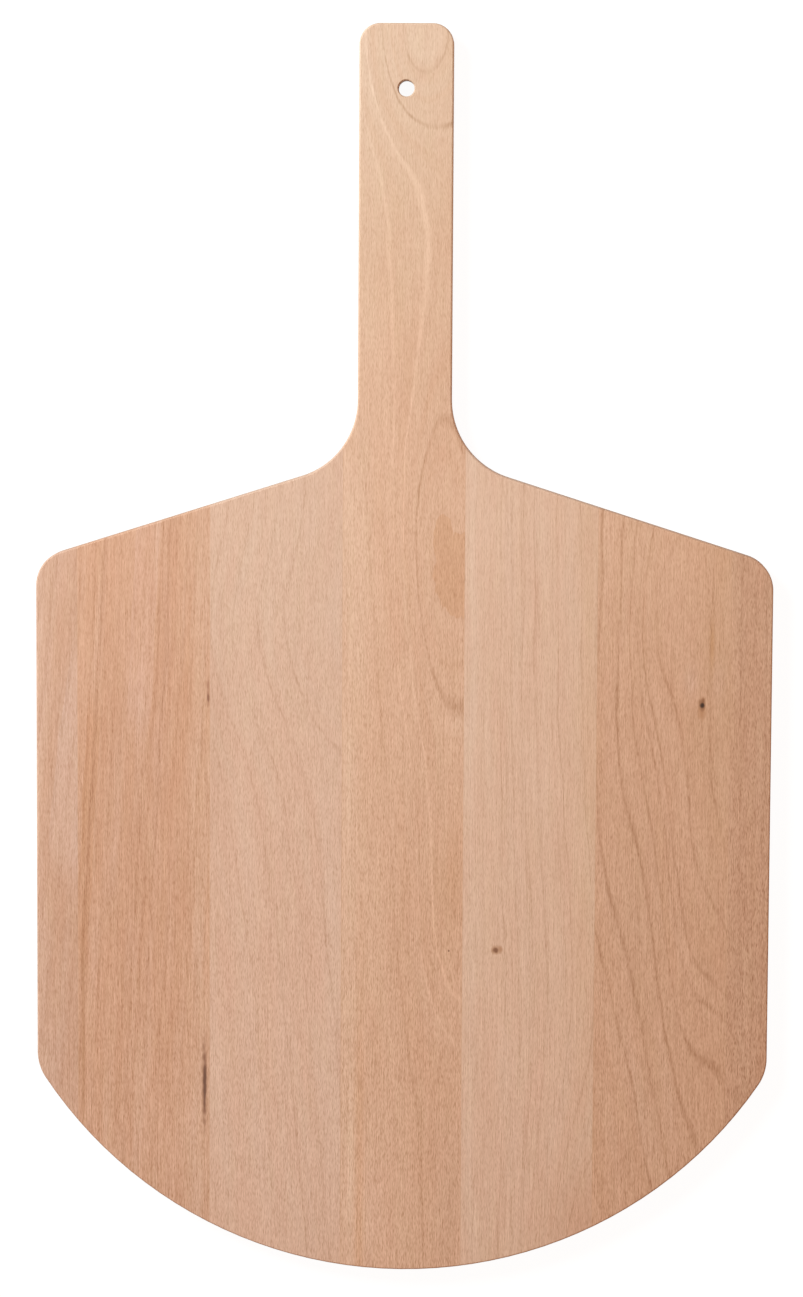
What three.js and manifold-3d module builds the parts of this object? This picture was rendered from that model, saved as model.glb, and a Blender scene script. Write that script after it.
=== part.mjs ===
// Pizza board: a flat serving board of edge-glued beech staves, sawn to one outline with its handle,
// drilled for hanging and sanded round its edges.
// Millimetres, +Z up. The board lies flat: underside on z = 0, handle toward +Y, rounded front toward -Y,
// origin under the middle of its length and width.

import * as THREE from 'three';
import { mergeVertices } from 'three/addons/utils/BufferGeometryUtils.js';
import Module from 'manifold-3d';

const wasm = await Module();
wasm.setup();

// Driving dimensions: the plan outline
const BLADE_WIDTH = 300;
const FRONT_RISE = 84; // how far the rounded front bows out beyond the ends of the straight sides
const FRONT_CORNER_RADIUS = 20; // where the front arc meets a side
const SIDE_LENGTH = 209; // along a side, between its corners before they are rounded
const SHOULDER_CORNER_RADIUS = 14.5; // where a side meets its shoulder
const SHOULDER_SLOPE = 17.7; // degrees that a shoulder climbs toward the handle
const NECK_RADIUS = 33; // hollow curve from a shoulder into the handle
const HANDLE_WIDTH = 38;
const HANDLE_LENGTH = 151; // straight grip, from the end of the neck curve to the handle's end
const HANDLE_END_RADIUS = 8.5;

// Driving dimensions: the section and the hanging hole
const BOARD_THICKNESS = 10;
const EDGE_EASE = 0.8; // radius that sanding leaves along the upper and lower edges
const HOLE_DIAMETER = 6.5;
const HOLE_FROM_END = 26; // from the hole's axis to the handle's end
const HOLE_EASE = 0.4; // chamfer that sanding leaves on the hole's two mouths

// Driving dimensions: the glued panel
const HANDLE_STAVE_WIDTH = 49.4; // the middle stave, which runs on as the handle
const SIDE_STAVE_WIDTH = 54; // every other stave, before the outline is sawn through the outermost
const NARROWEST_STRIP = 10; // a narrower strip isn't glued on: the stave inside it is left wider instead
const GLUE_FILM = 0.15; // cured glue between two planed stave edges

// How finely curves are cut into facets
const CHORD_ERROR = 0.03;
const EASE_FACETS = 3;
const HOLE_FACETS = 32;
const CUT_ALLOWANCE = 5; // how far a cutter reaches past the wood

// Places along the board's length that follow from the sizes above
const halfBlade = BLADE_WIDTH / 2;
const halfHandle = HANDLE_WIDTH / 2;
const slope = THREE.MathUtils.degToRad(SHOULDER_SLOPE);
const shoulderRun = halfBlade - halfHandle - NECK_RADIUS;
const neckAboveSide = shoulderRun * Math.tan(slope) + NECK_RADIUS / Math.cos(slope);
const overallLength = FRONT_RISE + SIDE_LENGTH + neckAboveSide + HANDLE_LENGTH;
const frontTip = -overallLength / 2;
const handleEnd = overallLength / 2;
const sideTop = frontTip + FRONT_RISE + SIDE_LENGTH;
const neckCentre = sideTop + neckAboveSide;

// Points of an arc about a centre, fine enough to stay within the chord error
function arcPoints(x, y, radius, start, end) {
  const sweep = Math.abs(end - start);
  const facets = Math.ceil(sweep / (2 * Math.acos(1 - CHORD_ERROR / radius)));
  return new THREE.EllipseCurve(x, y, radius, radius, start, end, end < start).getPoints(facets);
}

// The right half of the outline, from the front tip up to the handle's end: each corner is an arc
// tangent to its neighbours, and the straight stretches run from one arc to the next
function rightHalfOutline() {
  const frontRadius = (halfBlade ** 2 + FRONT_RISE ** 2) / (2 * FRONT_RISE);
  const frontCentre = frontTip + frontRadius;
  const frontCornerX = halfBlade - FRONT_CORNER_RADIUS;
  const frontCornerDrop = Math.sqrt((frontRadius - FRONT_CORNER_RADIUS) ** 2 - frontCornerX ** 2);
  const frontCornerAngle = -Math.atan2(frontCornerDrop, frontCornerX);
  const shoulderCornerX = halfBlade - SHOULDER_CORNER_RADIUS;
  const shoulderCornerY = sideTop
    - SHOULDER_CORNER_RADIUS * (1 / Math.cos(slope) - Math.tan(slope));
  return [
    ...arcPoints(0, frontCentre, frontRadius, -Math.PI / 2, frontCornerAngle).slice(0, -1),
    ...arcPoints(frontCornerX, frontCentre - frontCornerDrop, FRONT_CORNER_RADIUS, frontCornerAngle, 0),
    ...arcPoints(shoulderCornerX, shoulderCornerY, SHOULDER_CORNER_RADIUS, 0, Math.PI / 2 - slope),
    ...arcPoints(halfHandle + NECK_RADIUS, neckCentre, NECK_RADIUS, 1.5 * Math.PI - slope, Math.PI),
    ...arcPoints(halfHandle - HANDLE_END_RADIUS, handleEnd - HANDLE_END_RADIUS, HANDLE_END_RADIUS,
      0, Math.PI / 2),
  ];
}

// The whole outline, with the left half mirrored from the right
function boardOutline() {
  const right = rightHalfOutline();
  const left = right.slice(1).reverse().map((point) => new THREE.Vector2(-point.x, point.y));
  return new THREE.Shape([...right, ...left]);
}

// A closed solid from a three.js geometry, with its shared corners merged
function solidOf(geometry) {
  geometry.deleteAttribute('normal');
  geometry.deleteAttribute('uv');
  const merged = mergeVertices(geometry, 1e-3);
  return new wasm.Manifold(new wasm.Mesh({
    numProp: 3,
    vertProperties: new Float32Array(merged.attributes.position.array),
    triVerts: new Uint32Array(merged.index.array),
  }));
}

// The glued panel sawn to its outline, with both edges eased to a small round
function sawnPanel() {
  const geometry = new THREE.ExtrudeGeometry(boardOutline(), {
    depth: BOARD_THICKNESS - 2 * EDGE_EASE,
    bevelEnabled: true,
    bevelThickness: EDGE_EASE,
    bevelSize: EDGE_EASE,
    bevelOffset: -EDGE_EASE,
    bevelSegments: EASE_FACETS,
  });
  geometry.translate(0, 0, EDGE_EASE);
  return solidOf(geometry);
}

// The drill's path through the handle, flared at both faces where the mouths are eased
function hangingHole() {
  const radius = HOLE_DIAMETER / 2;
  const flare = radius + HOLE_EASE + CUT_ALLOWANCE;
  const geometry = new THREE.LatheGeometry([
    new THREE.Vector2(0, -CUT_ALLOWANCE),
    new THREE.Vector2(flare, -CUT_ALLOWANCE),
    new THREE.Vector2(radius, HOLE_EASE),
    new THREE.Vector2(radius, BOARD_THICKNESS - HOLE_EASE),
    new THREE.Vector2(flare, BOARD_THICKNESS + CUT_ALLOWANCE),
    new THREE.Vector2(0, BOARD_THICKNESS + CUT_ALLOWANCE),
  ], HOLE_FACETS);
  geometry.rotateX(Math.PI / 2);
  geometry.translate(0, handleEnd - HOLE_FROM_END, 0);
  return solidOf(geometry);
}

// A slab standing across the board's width from one x to another, longer and thicker than the board
function slab(fromX, toX) {
  const geometry = new THREE.BoxGeometry(
    toX - fromX,
    overallLength + 2 * CUT_ALLOWANCE,
    BOARD_THICKNESS + 2 * CUT_ALLOWANCE,
  );
  geometry.translate((fromX + toX) / 2, 0, BOARD_THICKNESS / 2);
  return solidOf(geometry);
}

// A named piece of the board from a finished solid
function piece(name, solid, material) {
  const mesh = solid.getMesh();
  const geometry = new THREE.BufferGeometry();
  geometry.setAttribute('position', new THREE.BufferAttribute(mesh.vertProperties, 3));
  geometry.setIndex(new THREE.BufferAttribute(mesh.triVerts, 1));
  geometry.computeVertexNormals();
  const result = new THREE.Mesh(geometry, material);
  result.name = name;
  return result;
}

// Bare sanded beech, a little darker or paler from stave to stave
function beech(colour) {
  return new THREE.MeshStandardMaterial({ color: colour, roughness: 0.62, metalness: 0 });
}

// Cured wood glue, a thin amber film
function curedGlue() {
  return new THREE.MeshStandardMaterial({ color: 0xc99a6b, roughness: 0.45, metalness: 0 });
}

// Stave colours from the handle stave outward on each side, the last kept for any stave beyond
const HANDLE_STAVE_COLOUR = 0xd7ad90;
const SIDE_STAVE_COLOURS = {
  left: [0xd9b197, 0xcfa183, 0xd6ac91],
  right: [0xd8b095, 0xcda081, 0xc1926f],
};

const panel = sawnPanel().subtract(hangingHole());

// The strip of the panel between two distances from its middle line, on the left (-1) or right (1)
function strip(sign, near, far) {
  const low = Math.min(sign * near, sign * far);
  const high = Math.max(sign * near, sign * far);
  return panel.intersect(slab(low, high));
}

const board = new THREE.Group();
const halfHandleStave = HANDLE_STAVE_WIDTH / 2;
board.add(piece(
  'handle_stave',
  panel.intersect(slab(-halfHandleStave, halfHandleStave)),
  beech(HANDLE_STAVE_COLOUR),
));

// Outward from the handle stave on each side: a glue line and a stave, until the blade's side is reached
for (const [side, sign] of [['left', -1], ['right', 1]]) {
  const colours = SIDE_STAVE_COLOURS[side];
  let jointFace = halfHandleStave;
  for (let count = 1; jointFace < halfBlade; count += 1) {
    const staveFace = jointFace + GLUE_FILM;
    const toSide = halfBlade - staveFace;
    const isOutermost = toSide < SIDE_STAVE_WIDTH + GLUE_FILM + NARROWEST_STRIP;
    const nextJoint = staveFace + (isOutermost ? toSide + CUT_ALLOWANCE : SIDE_STAVE_WIDTH);
    const colour = colours[Math.min(count, colours.length) - 1];
    board.add(piece(`${side}_glue_line_${count}`, strip(sign, jointFace, staveFace), curedGlue()));
    board.add(piece(`${side}_stave_${count}`, strip(sign, staveFace, nextJoint), beech(colour)));
    jointFace = nextJoint;
  }
}

export default board;
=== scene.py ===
import math

import bpy
from mathutils import Euler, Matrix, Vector


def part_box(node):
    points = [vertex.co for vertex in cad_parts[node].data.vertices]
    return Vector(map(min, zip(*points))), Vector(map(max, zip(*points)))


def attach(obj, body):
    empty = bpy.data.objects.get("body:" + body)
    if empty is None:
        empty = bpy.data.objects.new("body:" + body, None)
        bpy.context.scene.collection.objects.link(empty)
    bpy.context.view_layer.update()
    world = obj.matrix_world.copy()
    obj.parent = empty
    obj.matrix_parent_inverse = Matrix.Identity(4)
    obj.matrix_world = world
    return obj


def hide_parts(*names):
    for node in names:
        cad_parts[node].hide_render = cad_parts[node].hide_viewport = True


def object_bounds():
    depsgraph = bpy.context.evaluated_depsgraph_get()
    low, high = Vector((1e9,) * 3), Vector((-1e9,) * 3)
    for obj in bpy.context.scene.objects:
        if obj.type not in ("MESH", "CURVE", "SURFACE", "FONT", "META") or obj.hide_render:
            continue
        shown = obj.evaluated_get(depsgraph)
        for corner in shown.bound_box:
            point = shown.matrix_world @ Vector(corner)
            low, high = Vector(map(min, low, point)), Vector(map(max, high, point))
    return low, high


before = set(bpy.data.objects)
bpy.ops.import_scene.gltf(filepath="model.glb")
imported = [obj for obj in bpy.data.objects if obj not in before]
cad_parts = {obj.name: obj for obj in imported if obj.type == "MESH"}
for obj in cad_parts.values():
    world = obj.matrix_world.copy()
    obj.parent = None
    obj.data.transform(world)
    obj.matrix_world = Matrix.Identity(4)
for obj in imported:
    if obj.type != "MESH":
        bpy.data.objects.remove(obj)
cad_low, cad_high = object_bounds()
bpy.ops.object.select_all(action="DESELECT")

# The panel: beech staves glued edge to edge and sawn to one outline together with the handle. The saw
# followed straight lines and arcs that run smoothly into each other, and sanding left a small round on
# both edges. It is modelled whole here, and each stave below is the strip between two of its glue joints.
FRONT_RISE = 0.084
FRONT_CORNER_RADIUS = 0.020
SIDE_LENGTH = 0.209
SHOULDER_CORNER_RADIUS = 0.0145
SHOULDER_SLOPE = math.radians(17.7)
NECK_RADIUS = 0.033
HALF_HANDLE = 0.019
HANDLE_END_RADIUS = 0.0085
EDGE_EASE = 0.0008
EASE_STEPS = 5
ARC_STEP = math.radians(2.5)
SAME_PLACE = 1e-6
SAME_CORNER = 20 * SAME_PLACE
SMOOTH_BELOW = math.radians(40)
half_blade = cad_high.x
thickness = cad_high.z
front_tip = cad_low.y
handle_end = cad_high.y


def outline_arcs():
    """The arcs of the outline's right half from the front tip up, each as (x, y, radius, start, end)."""
    quarter = math.pi / 2
    front_radius = (half_blade**2 + FRONT_RISE**2) / (2 * FRONT_RISE)
    front_y = front_tip + front_radius
    corner_x = half_blade - FRONT_CORNER_RADIUS
    corner_drop = math.sqrt((front_radius - FRONT_CORNER_RADIUS) ** 2 - corner_x**2)
    corner_angle = -math.atan2(corner_drop, corner_x)
    side_top = front_tip + FRONT_RISE + SIDE_LENGTH
    shoulder_x = half_blade - SHOULDER_CORNER_RADIUS
    shoulder_drop = SHOULDER_CORNER_RADIUS * (1 / math.cos(SHOULDER_SLOPE) - math.tan(SHOULDER_SLOPE))
    neck_x = HALF_HANDLE + NECK_RADIUS
    neck_y = side_top + (half_blade - neck_x) * math.tan(SHOULDER_SLOPE)
    neck_y += NECK_RADIUS / math.cos(SHOULDER_SLOPE)
    end_x = HALF_HANDLE - HANDLE_END_RADIUS
    end_y = handle_end - HANDLE_END_RADIUS
    return [
        (0, front_y, front_radius, -quarter, corner_angle),
        (corner_x, front_y - corner_drop, FRONT_CORNER_RADIUS, corner_angle, 0),
        (shoulder_x, side_top - shoulder_drop, SHOULDER_CORNER_RADIUS, 0, quarter - SHOULDER_SLOPE),
        (neck_x, neck_y, NECK_RADIUS, 3 * quarter - SHOULDER_SLOPE, 2 * quarter),
        (end_x, end_y, HANDLE_END_RADIUS, 0, quarter),
    ]


bpy.ops.mesh.primitive_plane_add(size=EDGE_EASE, location=(0, front_tip, 0))
panel = bpy.context.object
bpy.ops.object.transform_apply(location=True)
bpy.ops.object.mode_set(mode="EDIT")
bpy.ops.mesh.merge(type="CENTER")
here = Vector((0, front_tip, 0))
for x, y, radius, start, end in outline_arcs():
    begin = Vector((x + radius * math.cos(start), y + radius * math.sin(start), 0))
    if (begin - here).length > SAME_PLACE:
        bpy.ops.mesh.extrude_region_move(TRANSFORM_OT_translate={"value": begin - here})
    bpy.ops.mesh.spin(
        steps=math.ceil(abs(end - start) / ARC_STEP), angle=start - end, center=(x, y, 0), axis=(0, 0, 1)
    )
    here = Vector((x + radius * math.cos(end), y + radius * math.sin(end), 0))
bpy.ops.mesh.extrude_region_move(TRANSFORM_OT_translate={"value": (-here.x, 0, 0)})
bpy.ops.mesh.select_all(action="SELECT")
bpy.ops.mesh.duplicate()
bpy.ops.transform.resize(value=(-1, 1, 1), center_override=(0, 0, 0))
bpy.ops.mesh.select_all(action="SELECT")
bpy.ops.mesh.remove_doubles(threshold=SAME_CORNER)
bpy.ops.mesh.edge_face_add()
bpy.ops.mesh.extrude_region_move(TRANSFORM_OT_translate={"value": (0, 0, thickness)})
bpy.ops.mesh.select_all(action="SELECT")
bpy.ops.mesh.normals_make_consistent(inside=False)
bpy.ops.mesh.select_mode(type="EDGE")
bpy.ops.mesh.select_all(action="DESELECT")
bpy.ops.object.mode_set(mode="OBJECT")
for edge in panel.data.edges:
    one_end, other_end = (panel.data.vertices[index].co.z for index in edge.vertices)
    edge.select = abs(one_end - other_end) < SAME_PLACE
bpy.ops.object.mode_set(mode="EDIT")
bpy.ops.mesh.bevel(offset=EDGE_EASE, segments=EASE_STEPS, affect="EDGES")
bpy.ops.mesh.select_mode(type="VERT")
bpy.ops.object.mode_set(mode="OBJECT")


def strip_of_panel(node, stuff):
    """A copy of the panel, sawn down to the strip that a CAD node takes up, and named with its stuff."""
    low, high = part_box(node)
    bpy.ops.object.select_all(action="DESELECT")
    panel.select_set(True)
    bpy.context.view_layer.objects.active = panel
    bpy.ops.object.duplicate()
    strip = bpy.context.object
    strip.name = f"{node}_{stuff}"
    bpy.ops.object.mode_set(mode="EDIT")
    for cut_x, waste in ((low.x, "clear_inner"), (high.x, "clear_outer")):
        if abs(cut_x) < half_blade - SAME_PLACE:
            bpy.ops.mesh.select_all(action="SELECT")
            bpy.ops.mesh.bisect(
                plane_co=(cut_x, 0, 0),
                plane_no=(1, 0, 0),
                threshold=SAME_PLACE,
                use_fill=True,
                **{waste: True},
            )
    bpy.ops.object.mode_set(mode="OBJECT")
    return strip


def sand(piece):
    """Shades a finished piece: its flat faces stay flat, and its rounds run smoothly into them."""
    bpy.ops.object.select_all(action="DESELECT")
    piece.select_set(True)
    bpy.context.view_layer.objects.active = piece
    bpy.ops.object.shade_smooth_by_angle(angle=SMOOTH_BELOW)
    piece.modifiers.new("flat faces", "WEIGHTED_NORMAL").keep_sharp = True
    bpy.ops.object.modifier_apply(modifier="flat faces")


# The handle stave: one length of beech from the front to the handle's end, with a hanging hole drilled
# through it and eased at both mouths. It is flat sawn, so its growth rings show as nested arches.
HOLE_RADIUS = 0.00325
HOLE_FROM_END = 0.026
HOLE_EASE = 0.0004
HOLE_SIDES = 64
DRILL_REACH = 0.002
hole_y = handle_end - HOLE_FROM_END
flare = HOLE_RADIUS + HOLE_EASE + DRILL_REACH

handle_stave = strip_of_panel("handle_stave", "wood")
bpy.ops.object.select_all(action="DESELECT")
bpy.ops.mesh.primitive_circle_add(
    vertices=HOLE_SIDES,
    radius=flare,
    fill_type="NGON",
    location=(0, hole_y, -DRILL_REACH),
)
drill = bpy.context.object
bpy.ops.object.transform_apply(location=True)
bpy.ops.object.mode_set(mode="EDIT")
for lift, grow in (
    (DRILL_REACH + HOLE_EASE, HOLE_RADIUS / flare),
    (thickness - 2 * HOLE_EASE, 1),
    (DRILL_REACH + HOLE_EASE, flare / HOLE_RADIUS),
):
    bpy.ops.mesh.extrude_region_move(TRANSFORM_OT_translate={"value": (0, 0, lift)})
    bpy.ops.transform.resize(value=(grow, grow, 1), center_override=(0, hole_y, 0))
bpy.ops.mesh.select_all(action="SELECT")
bpy.ops.mesh.normals_make_consistent(inside=False)
bpy.ops.object.mode_set(mode="OBJECT")
bpy.ops.object.select_all(action="DESELECT")
handle_stave.select_set(True)
bpy.context.view_layer.objects.active = handle_stave
hole = handle_stave.modifiers.new("hanging hole", "BOOLEAN")
hole.operation = "DIFFERENCE"
hole.solver = "EXACT"
hole.object = drill
bpy.ops.object.modifier_apply(modifier="hanging hole")
bpy.data.objects.remove(drill)
sand(handle_stave)


def linear(colour):
    """An sRGB hex colour as linear red, green, blue and alpha."""
    channels = [int(colour[place : place + 2], 16) / 255 for place in (1, 3, 5)]
    return [c / 12.92 if c <= 0.04045 else ((c + 0.055) / 1.055) ** 2.4 for c in channels] + [1]


def add(tree, kind, *inputs, named=None, **settings):
    """Adds a node with its settings; each input, in order or by name, is a node, a socket or a value."""
    node = tree.nodes.new("ShaderNode" + kind)
    for setting, value in settings.items():
        setattr(node, setting, value)
    for key, value in [*enumerate(inputs), *(named or {}).items()]:
        if isinstance(value, bpy.types.Node):
            value = value.outputs[0]
        if isinstance(value, bpy.types.NodeSocket):
            tree.links.new(value, node.inputs[key])
        elif value is not None:
            node.inputs[key].default_value = value
    return node


# Beech, bare, planed and sanded: a pinkish tan wood that drifts from ring to ring, with thin darker lines of
# late wood, a fine even fibre, and everywhere the short dark spindles of its rays, which leave it matt.
# Fibres and spindles are drawn about 0.25 mm wide, a little coarser than real ones, so that they show. Places
# are in millimetres from the middle of the serving face. Tone runs from 0, the darkest, to 1, the palest.
MM = 0.001
GRAIN_TURN = (0.6, 0.4, 0.6)  # turns the noise, whose cells would line up in rows along the fibre
SWAY = 4.0
BAND_LENGTH = 70
FIBRE_FROM_TO = (-180, 240)
FIBRE_AT_FRONT = 1.14
FIBRE_AT_HANDLE = 0.52
PINK = (1.0, 0.985, 0.987, 1)
STRAW = (1.0, 1.015, 1.0, 1)
# the darker colour of end grain, also painted shade over the lit eased edges
END_GRAIN_AND_SHADE = (0.72, 0.70, 0.68, 1)
RELIEF = 0.02


def beech(name, late, wood, early, deep, pale, growth_per_mm, bands_per_ring, swells=(), rings=(),
          fine_rings=3, fine_depth=0.04, long_fibre=0.25, short_fibre=0.4, spindles=0.28,
          tints=(), zones=(), patches=(), knots=()):
    """The wood of one stave.

    swells: where the tree bulged, as x, y, half width, half length and height in rings
    rings: clear lines, as a place the line runs through, its half width in rings and its depth of tone
    tints: soft changes of colour, some of them painted light at the stave's ends, as x, y, half width, half
    length, share and colour
    zones: wood between two rings, as a place on each, softness, colour and the bell it shows in
    patches: changes of colour with an edge, as colour, edge and ovals of x, y, half width, half length
    knots: dark wood, and in one knot painted shade of its small hole, as x, y, half width, half length, edge
    and colour
    """
    material = bpy.data.materials.new(name)
    material.use_nodes = True
    tree = material.node_tree
    shader = tree.nodes["Principled BSDF"]
    position = add(tree, "TexCoord").outputs["Object"]
    to_mm = (1 / MM, 1 / MM, 1 / MM)
    place = add(tree, "VectorMath", position, to_mm, (0, 0, -thickness / MM), operation="MULTIPLY_ADD")
    along = add(tree, "SeparateXYZ", place).outputs["Y"]

    def distance_squared(x, y, half_width, half_length, at=place):
        """How far a point is from a place, squared, in units of the half width and half length."""
        scale = (1 / half_width, 1 / half_length, 0)
        shift = (-x / half_width, -y / half_length, 0)
        away = add(tree, "VectorMath", at, scale, shift, operation="MULTIPLY_ADD")
        return add(tree, "VectorMath", away, away, operation="DOT_PRODUCT").outputs["Value"]

    def bell(x, y, half_width, half_length, at=place):
        """A smooth rise to 1 at a place, which has died away at about twice its half width and length."""
        away = distance_squared(x, y, half_width, half_length, at)
        return add(tree, "Math", 1 / math.e, away, operation="POWER")

    def grain(width, length, detail=0.0):
        """Noise about 0, drawn out along the fibre into grains of a width and length."""
        scale = (1 / width, 1 / length, 1 / width)
        drawn = add(tree, "Mapping", place, named={"Scale": scale, "Rotation": GRAIN_TURN})
        noise = add(tree, "TexNoise", drawn, named={"Scale": 1.0, "Detail": detail, "Roughness": 0.55})
        return add(tree, "Math", noise, 0.5, operation="SUBTRACT")

    def ring_at(x, y):
        """The ring count at a place on the serving face."""
        count = growth_per_mm[0] * x + growth_per_mm[1] * y
        for swell_x, swell_y, half_width, half_length, height in swells:
            away = ((x - swell_x) / half_width) ** 2 + ((y - swell_y) / half_length) ** 2
            count += height * math.exp(-away)
        return count

    # Ring count at a point: even growth one way, bent by the swells, and swaying by about a millimetre
    sway = add(tree, "Math", grain(9, 40, 3.0), SWAY, operation="MULTIPLY")
    swayed = add(tree, "VectorMath", place, add(tree, "CombineXYZ", sway, 0.0, 0.0), operation="ADD")
    growth = add(tree, "VectorMath", swayed, growth_per_mm, operation="DOT_PRODUCT").outputs["Value"]
    for x, y, half_width, half_length, height in swells:
        swell = bell(x, y, half_width, half_length, swayed)
        growth = add(tree, "Math", swell, height, growth, operation="MULTIPLY_ADD")

    # Each fine ring darkens slowly to its late wood, and some rings more than others
    fine = add(tree, "Math", growth, fine_rings, operation="MULTIPLY")
    number = add(tree, "Math", fine, operation="FLOOR")
    strength = add(tree, "TexWhiteNoise", named={"W": number}, noise_dimensions="1D")
    part = add(tree, "Math", fine, operation="FRACT")
    late_part = add(tree, "MapRange", part, 0.45, 0.97, 0.0, 1.0, interpolation_type="SMOOTHSTEP")
    late_wood = add(tree, "Math", strength, late_part, operation="MULTIPLY")
    tone = add(tree, "Math", late_wood, -fine_depth, 0.5 + 0.15 * fine_depth, operation="MULTIPLY_ADD")

    # The clear lines, which fade and darken along their length
    fade = add(tree, "MapRange", grain(12, 45), -0.15, 0.15, 0.6, 1.3)
    for x, y, half_width, depth in rings:
        away = add(tree, "Math", growth, ring_at(x, y), operation="SUBTRACT")
        away = add(tree, "Math", away, operation="ABSOLUTE")
        line = add(tree, "MapRange", away, 0.0, half_width, -depth, 0.0, interpolation_type="SMOOTHSTEP")
        tone = add(tree, "Math", line, fade, tone, operation="MULTIPLY_ADD")

    # Long and short fibre and ray spindles, plainest at the board's front and faint at the handle's end
    fibre = add(tree, "Math", grain(0.26, 28), long_fibre, operation="MULTIPLY")
    fibre = add(tree, "Math", grain(0.22, 6), short_fibre, fibre, operation="MULTIPLY_ADD")
    spindle = grain(0.21, 1.8)
    spindle = add(tree, "MapRange", spindle, -0.15, 0.3, 0.33, -0.67, interpolation_type="SMOOTHSTEP")
    fibre = add(tree, "Math", spindle, spindles, fibre, operation="MULTIPLY_ADD")
    plainness = add(tree, "MapRange", along, *FIBRE_FROM_TO, FIBRE_AT_FRONT, FIBRE_AT_HANDLE)
    tone = add(tree, "Math", fibre, plainness, tone, operation="MULTIPLY_ADD")

    colour = add(tree, "ValToRGB", tone)
    stops = colour.color_ramp.elements
    stops[0].color = linear(late)
    stops[1].color = linear(early)
    stops.new(0.5).color = linear(wood)

    def tinted(colour, share, factor):
        """The colour so far, a share of the way to itself times a factor."""
        return add(tree, "MixRGB", share, colour, factor, blend_type="MULTIPLY")

    def beside_wood(tint):
        """The factor that takes plain wood to a tint."""
        return [t / w for t, w in zip(linear(tint), linear(wood))]

    # Colour drift from ring to ring, and faint pink and straw clouds
    across = add(tree, "Math", growth, bands_per_ring, operation="MULTIPLY")
    down = add(tree, "Math", along, 1 / BAND_LENGTH, operation="MULTIPLY")
    band_place = add(tree, "CombineXYZ", across, down, 0.0)
    band = add(tree, "TexNoise", band_place, named={"Scale": 1.0, "Detail": 1.0, "Roughness": 0.55})
    colour = tinted(colour, add(tree, "MapRange", band, 0.5, 0.25, 0.0, 1.0), beside_wood(deep))
    colour = tinted(colour, add(tree, "MapRange", band, 0.5, 0.75, 0.0, 1.0), beside_wood(pale))
    cloud = grain(4, 18, 2.0)
    colour = tinted(colour, add(tree, "MapRange", cloud, 0.0, -0.25, 0.0, 1.0), PINK)
    colour = tinted(colour, add(tree, "MapRange", cloud, 0.0, 0.25, 0.0, 1.0), STRAW)

    # What this stave alone has, and in some tints painted light towards the stave's ends
    for x, y, half_width, half_length, share, tint in tints:
        amount = add(tree, "Math", bell(x, y, half_width, half_length), share, operation="MULTIPLY")
        colour = tinted(colour, amount, beside_wood(tint))
    for one_place, other_place, soft, tint, around in zones:
        low = ring_at(*one_place)
        high = ring_at(*other_place)
        above = add(tree, "MapRange", growth, low, low + soft, 0.0, 1.0, interpolation_type="SMOOTHSTEP")
        below = add(tree, "MapRange", growth, high - soft, high, 1.0, 0.0, interpolation_type="SMOOTHSTEP")
        near = add(tree, "MapRange", bell(*around), 0.15, 0.5, 0.0, 1.0, interpolation_type="SMOOTHSTEP")
        between = add(tree, "Math", above, below, operation="MULTIPLY")
        colour = tinted(colour, add(tree, "Math", between, near, operation="MULTIPLY"), beside_wood(tint))
    ragged = add(tree, "Math", grain(1.2, 3.0), 0.9, operation="MULTIPLY")
    for tint, edge, ovals in patches:
        away = distance_squared(*ovals[0])
        for oval in ovals[1:]:
            away = add(tree, "Math", away, distance_squared(*oval), operation="MINIMUM")
        away = add(tree, "Math", ragged, 0.4, away, operation="MULTIPLY_ADD")
        mask = add(tree, "MapRange", away, 1.0, 1.0 - edge, 0.0, 1.0, interpolation_type="SMOOTHSTEP")
        colour = tinted(colour, mask, beside_wood(tint))
    for x, y, half_width, half_length, edge, stain in knots:
        away = add(tree, "Math", distance_squared(x, y, half_width, half_length), ragged, operation="ADD")
        mask = add(tree, "MapRange", away, 1.0, 1.0 - edge, 0.0, 1.0, interpolation_type="SMOOTHSTEP")
        colour = add(tree, "MixRGB", mask, colour, linear(stain))

    # Sawn edges are darker where they show end grain; the darkening is also painted shade, set to dim the
    # lamp's highlight on the eased edges
    facing = add(tree, "SeparateXYZ", add(tree, "TexCoord").outputs["Normal"])
    end = add(tree, "Math", facing.outputs["Y"], 2.0, operation="POWER")
    colour = tinted(colour, end, END_GRAIN_AND_SHADE)
    tree.links.new(colour.outputs[0], shader.inputs["Base Color"])

    # The fibre's slight relief, and a matt surface
    relief = add(tree, "Bump", named={"Strength": 1.0, "Distance": RELIEF * MM, "Height": tone})
    tree.links.new(relief.outputs["Normal"], shader.inputs["Normal"])
    shader.inputs["Roughness"].default_value = 0.65
    shader.inputs["IOR"].default_value = 1.5
    shader.inputs["Specular IOR Level"].default_value = 0.3
    return material


def dress(piece, node, material):
    """Gives a finished stave or glue line its material and its place in the frame."""
    piece.data.materials.clear()
    piece.data.materials.append(material)
    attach(piece, "root")
    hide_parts(node)


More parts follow.
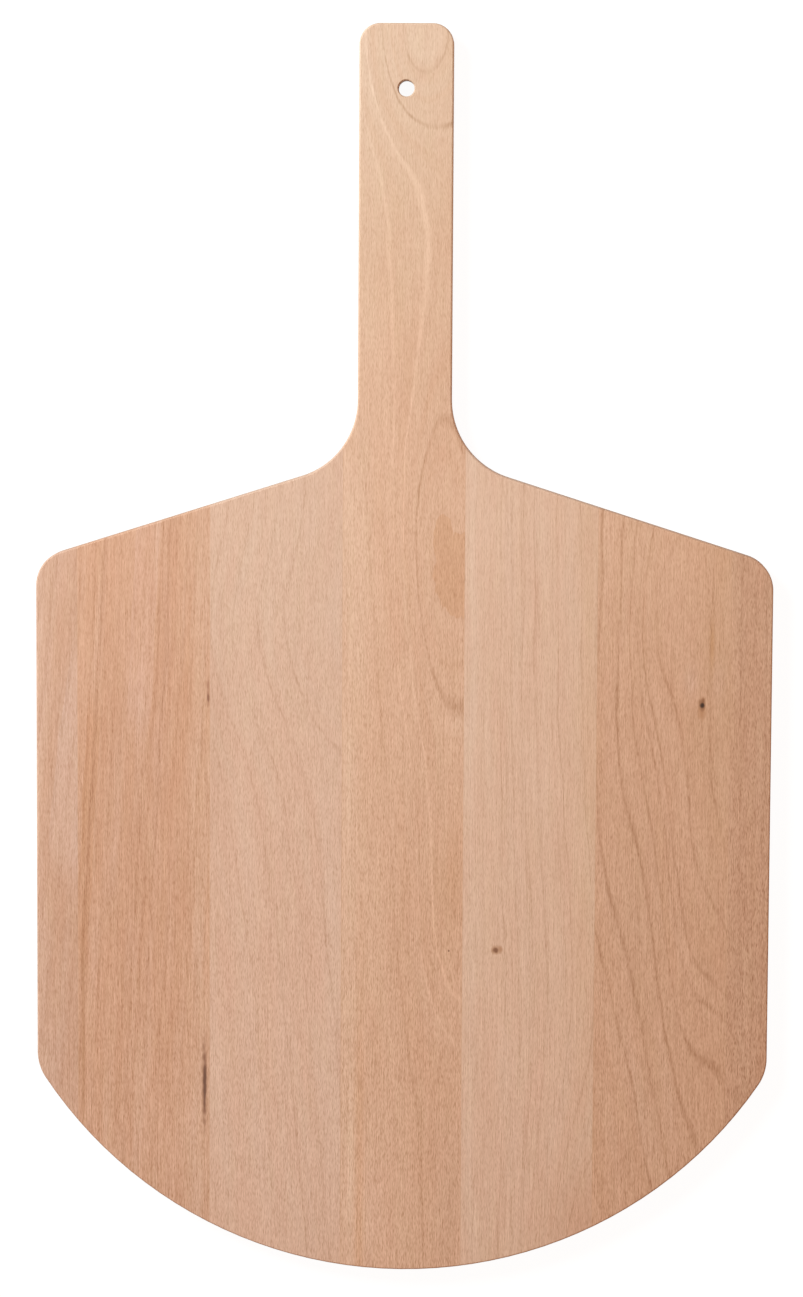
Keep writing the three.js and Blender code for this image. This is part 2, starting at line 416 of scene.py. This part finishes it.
handle_beech = beech(
    "handle_beech", late="#b58665", wood="#d9ae90", early="#f4c9ab", deep="#d7aa8b", pale="#dbb193",
    growth_per_mm=(0.035, 0.0027, 0.1), bands_per_ring=2.0, fine_depth=0.02,
    long_fibre=0.37, short_fibre=0.54, spindles=0.39,
    swells=[
        (13.5, 42, 12, 61, 2.45),
        (28, 31, 7.5, 35, 1.45),
        (6, 252, 17.5, 34, 3.6),
        (23, -97, 13.5, 90, 1.2),
        (24, -175, 14, 47, -0.95),
    ],
    rings=[
        (7, 235.5, 0.12, 0.22),  # small arch above the hole
        (5.5, 50, 0.10, 0.23),  # long arch at the neck, and its like below the hole
        (0, 198, 0.08, -0.16),  # pale line down the handle
        (-12, 199, 0.05, -0.14),  # fainter pale line beside it
        (4, -170, 0.03, 0.14),  # thin line at the front
    ],
    tints=[
        (-22, 0, 9, 400, 1.0, "#dbb396"),  # paler along the left joint
        (-22, -45, 0.8, 45, 1.0, "#ddb395"),  # two pale lines there
        (-20.7, -215, 1.0, 50, 1.0, "#dfb698"),
        (-17, -235, 2.0, 90, 1.0, "#d5a583"),  # a warm streak beside them
        (-12, -235, 13, 40, 1.0, "#deb498"),  # painted light: paler at the front
        (20, -100, 9, 28, 1.0, "#d5a888"),  # browner along the right joint
        (20, -225, 7, 35, 1.0, "#d5aa8d"),
        (22, -27, 4, 6, 1.0, "#deb598"),  # pale at the long arch's foot
        (10, -60, 14, 110, 1.0, "#d6ab8d"),  # a little browner right of the middle
        (10, 110, 12, 30, 1.0, "#d6ab8d"),
        (0, 180, 40, 60, 1.0, "#d5ae90"),  # painted light: less red in the handle, and paler at its end
        (0, 250, 40, 50, 0.8, "#d9b89d"),
    ],
    patches=[("#d3a482", 0.1, [(24.7, 33, 13, 18), (16, 46.5, 4.2, 11.5)])],  # warm heart of the arch
    knots=[(19.3, -121.5, 0.4, 0.6, 0.9, "#8a6248")],
)
dress(handle_stave, "handle_stave", handle_beech)

# The inner staves: two broad lengths of paler beech, glued to the handle stave's edges. They take in the
# neck's hollow curves above and run to the rounded front below. The right one has a small sound knot.
left_inner_beech = beech(
    "left_inner_beech", late="#b5896c", wood="#d9b197", early="#f4ccb2", deep="#d9af95", pale="#dab49b",
    growth_per_mm=(1 / 12, 0.09 / 12, 0.1), bands_per_ring=1.5,
    long_fibre=0.29, short_fibre=0.46, spindles=0.33,
    swells=[(-66, 6, 43, 48, 1.5), (-80, -82, 30, 26, 0.25), (-22, -42, 10, 25, -0.55)],
    rings=[
        (-46, -2, 0.06, 0.11),
        (-58.5, 0, 0.06, 0.11),
        (-68, -5, 0.06, 0.10),
        (-57, -75, 0.06, 0.12),
        (-64, -110, 0.06, 0.10),
    ],
    tints=[
        (-76, -35, 6, 65, 1.0, "#d3aa90"),  # darker along the left joint
        (-28, -150, 5, 90, 1.0, "#dbb69d"),  # paler along the right joint
        (-50, 40, 60, 90, 1.0, "#d6b197"),  # painted light: less red towards the neck, and paler at the front
        (-50, -225, 45, 60, 1.0, "#dcb69d"),
    ],
)
right_inner_beech = beech(
    "right_inner_beech", late="#b88e70", wood="#dcb69b", early="#f7d1b6", deep="#dbb398", pale="#ddb99f",
    growth_per_mm=(1 / 9, 0, 0.1), bands_per_ring=1.1, fine_depth=0.08,
    long_fibre=0.36, short_fibre=0.43, spindles=0.26,
    swells=[(73, -289, 15, 96, 3.0), (72, -162, 27, 99, -1.15)],
    rings=[
        (39.5, 40, 0.05, 0.14),
        (44, 40, 0.05, 0.13),
        (48.5, 40, 0.05, 0.15),
        (53, 40, 0.05, 0.15),
        (62.5, 40, 0.05, 0.16),
        (69, -203, 0.05, 0.16),
        (73, -221, 0.07, 0.22),
    ],
    tints=[
        (28, -60, 2.5, 300, 1.0, "#debaa0"),  # paler along the left joint
        (76, -40, 6, 160, 1.0, "#dab395"),  # warmer along the right joint
        (72, -238, 14, 28, 1.0, "#d6ac90"),  # brown corner at the front
        (45, -200, 25, 50, 1.0, "#deb89e"),  # paler beside it
    ],
    knots=[(39, -121, 3.0, 2.4, 1.0, "#ba8c6c"), (38.6, -121, 1.6, 1.4, 1.0, "#8a6047")],
)
for node, material in (("left_stave_1", left_inner_beech), ("right_stave_1", right_inner_beech)):
    inner_stave = strip_of_panel(node, "wood")
    sand(inner_stave)
    dress(inner_stave, node, material)

# The middle staves: two lengths of darker beech under the sloping shoulders, glued on outside the inner ones.
# The left one is quarter sawn, so its rings are close straight bands, and has two dark streaks by the joint.
# The right one is flat sawn, with wavy lines that bend round a small knot.
left_middle_beech = beech(
    "left_middle_beech", late="#ab7755", wood="#cf9f80", early="#eaba9b", deep="#cc9a7a", pale="#d2a487",
    growth_per_mm=(1 / 5, -0.055 / 5, 0.1), bands_per_ring=0.9, fine_rings=1.5, fine_depth=0.14,
    long_fibre=0.48, short_fibre=0.6, spindles=0.35,
    rings=[(-124.5, 0, 0.15, 0.14)],
    tints=[
        (-95, 80, 9, 24, 1.0, "#d1a88a"),  # painted light: less red under the shoulder; and darker on the left
        (-117, -60, 17, 80, 1.0, "#cb9c7e"),
        (-83, -60, 6, 300, 1.0, "#d1a587"),  # paler along the right joint, and painted light: paler at the front
        (-92, -200, 18, 40, 1.0, "#d1a182"),
        (-105, -230, 60, 60, 1.0, "#d2a588"),
        (-131, -160, 0.6, 45, 1.0, "#bd8d6b"),  # dark line beside the left joint
    ],
    zones=[
        ((-101, 0), (-93.5, 0), 0.1, "#cb9a7b", (-97, 5, 16, 70)),  # dark bands
        ((-90.5, 0), (-87.5, 0), 0.1, "#cc9a7a", (-88, 20, 10, 40)),
        ((-132, -72), (-126, -72), 0.12, "#c99674", (-129, -72, 12, 50)),
        ((-112, 0), (-101.5, 0), 0.1, "#d2a488", (-106, 15, 12, 45)),  # pale band between them
    ],
    knots=[
        (-81, -177, 1.3, 24, 1.0, "#a0745a"),  # a long dark streak, and a short one above it
        (-80.9, -178, 0.8, 13, 1.0, "#745140"),
        (-79.6, -16, 0.8, 7, 1.0, "#b08064"),
        (-79.6, -18, 0.6, 2, 1.0, "#966a52"),
    ],
)
right_middle_beech = beech(
    "right_middle_beech", late="#b08060", wood="#d4a788", early="#efc2a3", deep="#d1a383", pale="#d6aa8c",
    growth_per_mm=(1 / 14, 0.1 / 14, 0.1), bands_per_ring=1.8,
    long_fibre=0.37, short_fibre=0.63, spindles=0.37,
    swells=[
        (98, -71, 66, 121, 1.6),
        (135, -165, 15.5, 69, -1.0),
        (105, 17, 11, 41, 0.9),
        (100, -92, 13.5, 71, -0.63),
    ],
    rings=[
        (91, -160, 0.07, 0.27),
        (96, -138, 0.07, 0.27),
        (102, -112, 0.07, 0.27),
        (101, -35, 0.06, 0.17),
        (118, -120, 0.06, 0.24),
        (120, -162, 0.06, 0.22),
        (113, -30, 0.06, 0.20),
        (125, 10, 0.05, 0.16),
    ],
    tints=[
        (105, 65, 60, 45, 0.8, "#daad8d"),  # painted light: paler under the shoulder
        (92, 45, 14, 35, 1.0, "#d6ab8d"),
        (130, -10, 9, 80, 1.0, "#d0a483"),  # darker towards the right joint
        (96, -110, 9, 40, 1.0, "#d1a586"),
        (103, -185, 12, 35, 1.0, "#d5aa8c"),  # painted light: paler at the front
        (117, -10, 3, 6, 0.8, "#d9af94"),  # pale wood on both sides of the knot, and a red streak above it
        (128, -10, 3, 9, 0.7, "#d9af94"),
        (125.5, 5, 1.0, 10, 1.0, "#cb9a74"),
    ],
    knots=[
        (121.6, -21, 2.2, 6.0, 1.0, "#c08e6a"),  # the knot, darker to its core, and a near-black spot at its top that is painted shade of a small hole
        (121.7, -19.2, 1.9, 3.2, 1.0, "#966849"),
        (121.7, -19.5, 1.4, 1.4, 0.8, "#3c271b"),
    ],
)
for node, material in (("left_stave_2", left_middle_beech), ("right_stave_2", right_middle_beech)):
    middle_stave = strip_of_panel(node, "wood")
    sand(middle_stave)
    dress(middle_stave, node, material)

# The outer staves: the narrow strips that the saw left of the outermost lengths of beech. They carry the
# blade's straight sides and corners. Both are quarter sawn, and the right one is the board's darkest wood.
left_outer_beech = beech(
    "left_outer_beech", late="#a97758", wood="#cb9f83", early="#e6ba9e", deep="#c99b7e", pale="#cda389",
    growth_per_mm=(1 / 5, -0.11 / 5, 0.1), bands_per_ring=0.7, fine_rings=1, fine_depth=0.12,
    long_fibre=0.34, short_fibre=0.52, spindles=0.32,
    rings=[(-139, -10, 0.15, 0.12)],
    tints=[
        (-150, -60, 4, 150, 1.0, "#d1a88e"),  # paler along the blade's side, and painted light: paler at both ends
        (-140, -220, 40, 60, 1.0, "#cea48a"),
        (-140, 40, 20, 25, 1.0, "#cda287"),
    ],
    zones=[((-141, -40), (-133, -190), 0.1, "#cfa68d", (-136, -45, 14, 45))],  # pale wedge by the joint
)
right_outer_beech = beech(
    "right_outer_beech", late="#a87759", wood="#cc9f81", early="#e7ba9b", deep="#ca9c7d", pale="#cea385",
    growth_per_mm=(1 / 4, 0, 0.1), bands_per_ring=0.5, fine_rings=1, fine_depth=0.12,
    long_fibre=0.31, short_fibre=0.63, spindles=0.52,
    rings=[(137.5, -100, 0.2, 0.12), (147.5, 0, 0.2, 0.08)],
    tints=[(133.5, 10, 3, 60, 1.0, "#d1a687")],  # paler along the joint
)
for node, material in (("left_stave_3", left_outer_beech), ("right_stave_3", right_outer_beech)):
    outer_stave = strip_of_panel(node, "wood")
    sand(outer_stave)
    dress(outer_stave, node, material)

# The glue lines: thin films of cured wood glue that hold the staves together edge to edge, squeezed thin in
# the clamps and sanded flush with the wood. They are close to the wood's own colour and hardly show.
# Cured wood glue is a smooth, slightly glossy amber plastic, cloudy where the film is thicker.
glue = bpy.data.materials.new("cured_wood_glue")
glue.use_nodes = True
tree = glue.node_tree
cloud_place = add(
    tree, "Mapping", add(tree, "TexCoord").outputs["Object"],
    named={"Scale": (1 / (0.4 * MM), 1 / (5 * MM), 1 / (1.5 * MM)), "Rotation": GRAIN_TURN},
)
cloudy = add(tree, "TexNoise", cloud_place, named={"Scale": 1.0, "Detail": 2.0})
film_share = add(tree, "MapRange", cloudy, 0.35, 0.65, 0.0, 1.0)
film_colour = add(tree, "MixRGB", film_share, linear("#c99c79"), linear("#d5ab8c"))
film_gloss = add(tree, "MapRange", cloudy, 0.35, 0.65, 0.42, 0.55)
shader = tree.nodes["Principled BSDF"]
tree.links.new(film_colour.outputs[0], shader.inputs["Base Color"])
tree.links.new(film_gloss.outputs[0], shader.inputs["Roughness"])
shader.inputs["IOR"].default_value = 1.46
for side in ("left", "right"):
    for count in (1, 2, 3):
        node = f"{side}_glue_line_{count}"
        film = strip_of_panel(node, "film")
        sand(film)
        dress(film, node, glue)
bpy.data.objects.remove(panel)

# The floor: white paper, swept level under the board. It shows as white to the eye and in reflections, and
# keeps the board's soft shadow.
FLOOR_SIZE = 60
FLOOR_GAP = 0.0002  # keeps the paper and the board's underside out of one plane


def seen(tree):
    """1 for the rays by which the camera sees a thing straight, mirrored or through glass, else 0."""
    rays = add(tree, "LightPath")
    sight = [rays.outputs[f"Is {kind} Ray"] for kind in ("Camera", "Glossy", "Transmission")]
    straight_or_mirrored = add(tree, "Math", sight[0], sight[1], operation="MAXIMUM")
    return add(tree, "Math", straight_or_mirrored, sight[2], operation="MAXIMUM")


bpy.ops.object.select_all(action="DESELECT")
bpy.ops.mesh.primitive_plane_add(size=FLOOR_SIZE, location=(0, 0, -FLOOR_GAP))
floor = bpy.context.object
floor.name = "floor"
paper = bpy.data.materials.new("white_paper")
paper.use_nodes = True
tree = paper.node_tree
tree.nodes.clear()
matt = add(tree, "BsdfDiffuse", (0.8, 0.8, 0.8, 1))
shadowed = add(tree, "BsdfDiffuse", (0.12, 0.12, 0.12, 1))
glow = add(tree, "Emission", (1, 1, 1, 1), 0.95)
bright = add(tree, "AddShader", shadowed, glow)
add(tree, "OutputMaterial", add(tree, "MixShader", seen(tree), matt, bright))
floor.data.materials.append(paper)

# The light: one round soft lamp to the upper left, and a weaker warm light from all round. The shares are the
# red, green and blue that each gives the serving face, and together they show a colour about as written.
KEY_FROM = Vector((-0.72, 0.62, 0.75))
KEY_SHARE = Vector((0.60, 0.75, 0.84))
FILL = Vector((0.43, 0.26, 0.16))
LAMP_WIDTH = 0.6
distance = KEY_FROM.length
key = bpy.data.objects.new("key", bpy.data.lights.new("key", "AREA"))
key.data.shape = "DISK"
key.data.size = LAMP_WIDTH
key.location = KEY_FROM
key.rotation_euler = KEY_FROM.to_track_quat("Z", "Y").to_euler()
level = max(KEY_SHARE)
key.data.color = KEY_SHARE / level
key.data.energy = math.pi**2 * level * distance**2 / (KEY_FROM.z / distance)
bpy.context.scene.collection.objects.link(key)
world = bpy.data.worlds.new("fill")
world.use_nodes = True
tree = world.node_tree
light = add(tree, "MixRGB", seen(tree), (*FILL, 1), (1, 1, 1, 1))
tree.links.new(light.outputs[0], tree.nodes["Background"].inputs["Color"])
bpy.context.scene.world = world

# The camera: almost straight above the board, a little towards the handle, with a long lens that takes in
# the whole board and some white around it.
CAMERA_TURN = (math.radians(-5.343), math.radians(1.675), math.radians(0.464))
CAMERA_DISTANCE = 1.6
FILM_WIDTH = 36
LENS_LENGTH = 109.07
AIM = Vector((-0.000756, 0.002835, thickness))
camera = bpy.data.objects.new("camera", bpy.data.cameras.new("camera"))
camera.rotation_mode = "YXZ"
camera.rotation_euler = Euler(CAMERA_TURN, "YXZ")
camera.location = AIM + Euler(CAMERA_TURN, "YXZ").to_matrix() @ Vector((0, 0, CAMERA_DISTANCE))
camera.data.sensor_width = FILM_WIDTH
camera.data.lens = LENS_LENGTH
camera.data.dof.use_dof = False
bpy.context.scene.collection.objects.link(camera)
bpy.context.scene.camera = camera
bpy.context.scene.view_settings.view_transform = "Standard"
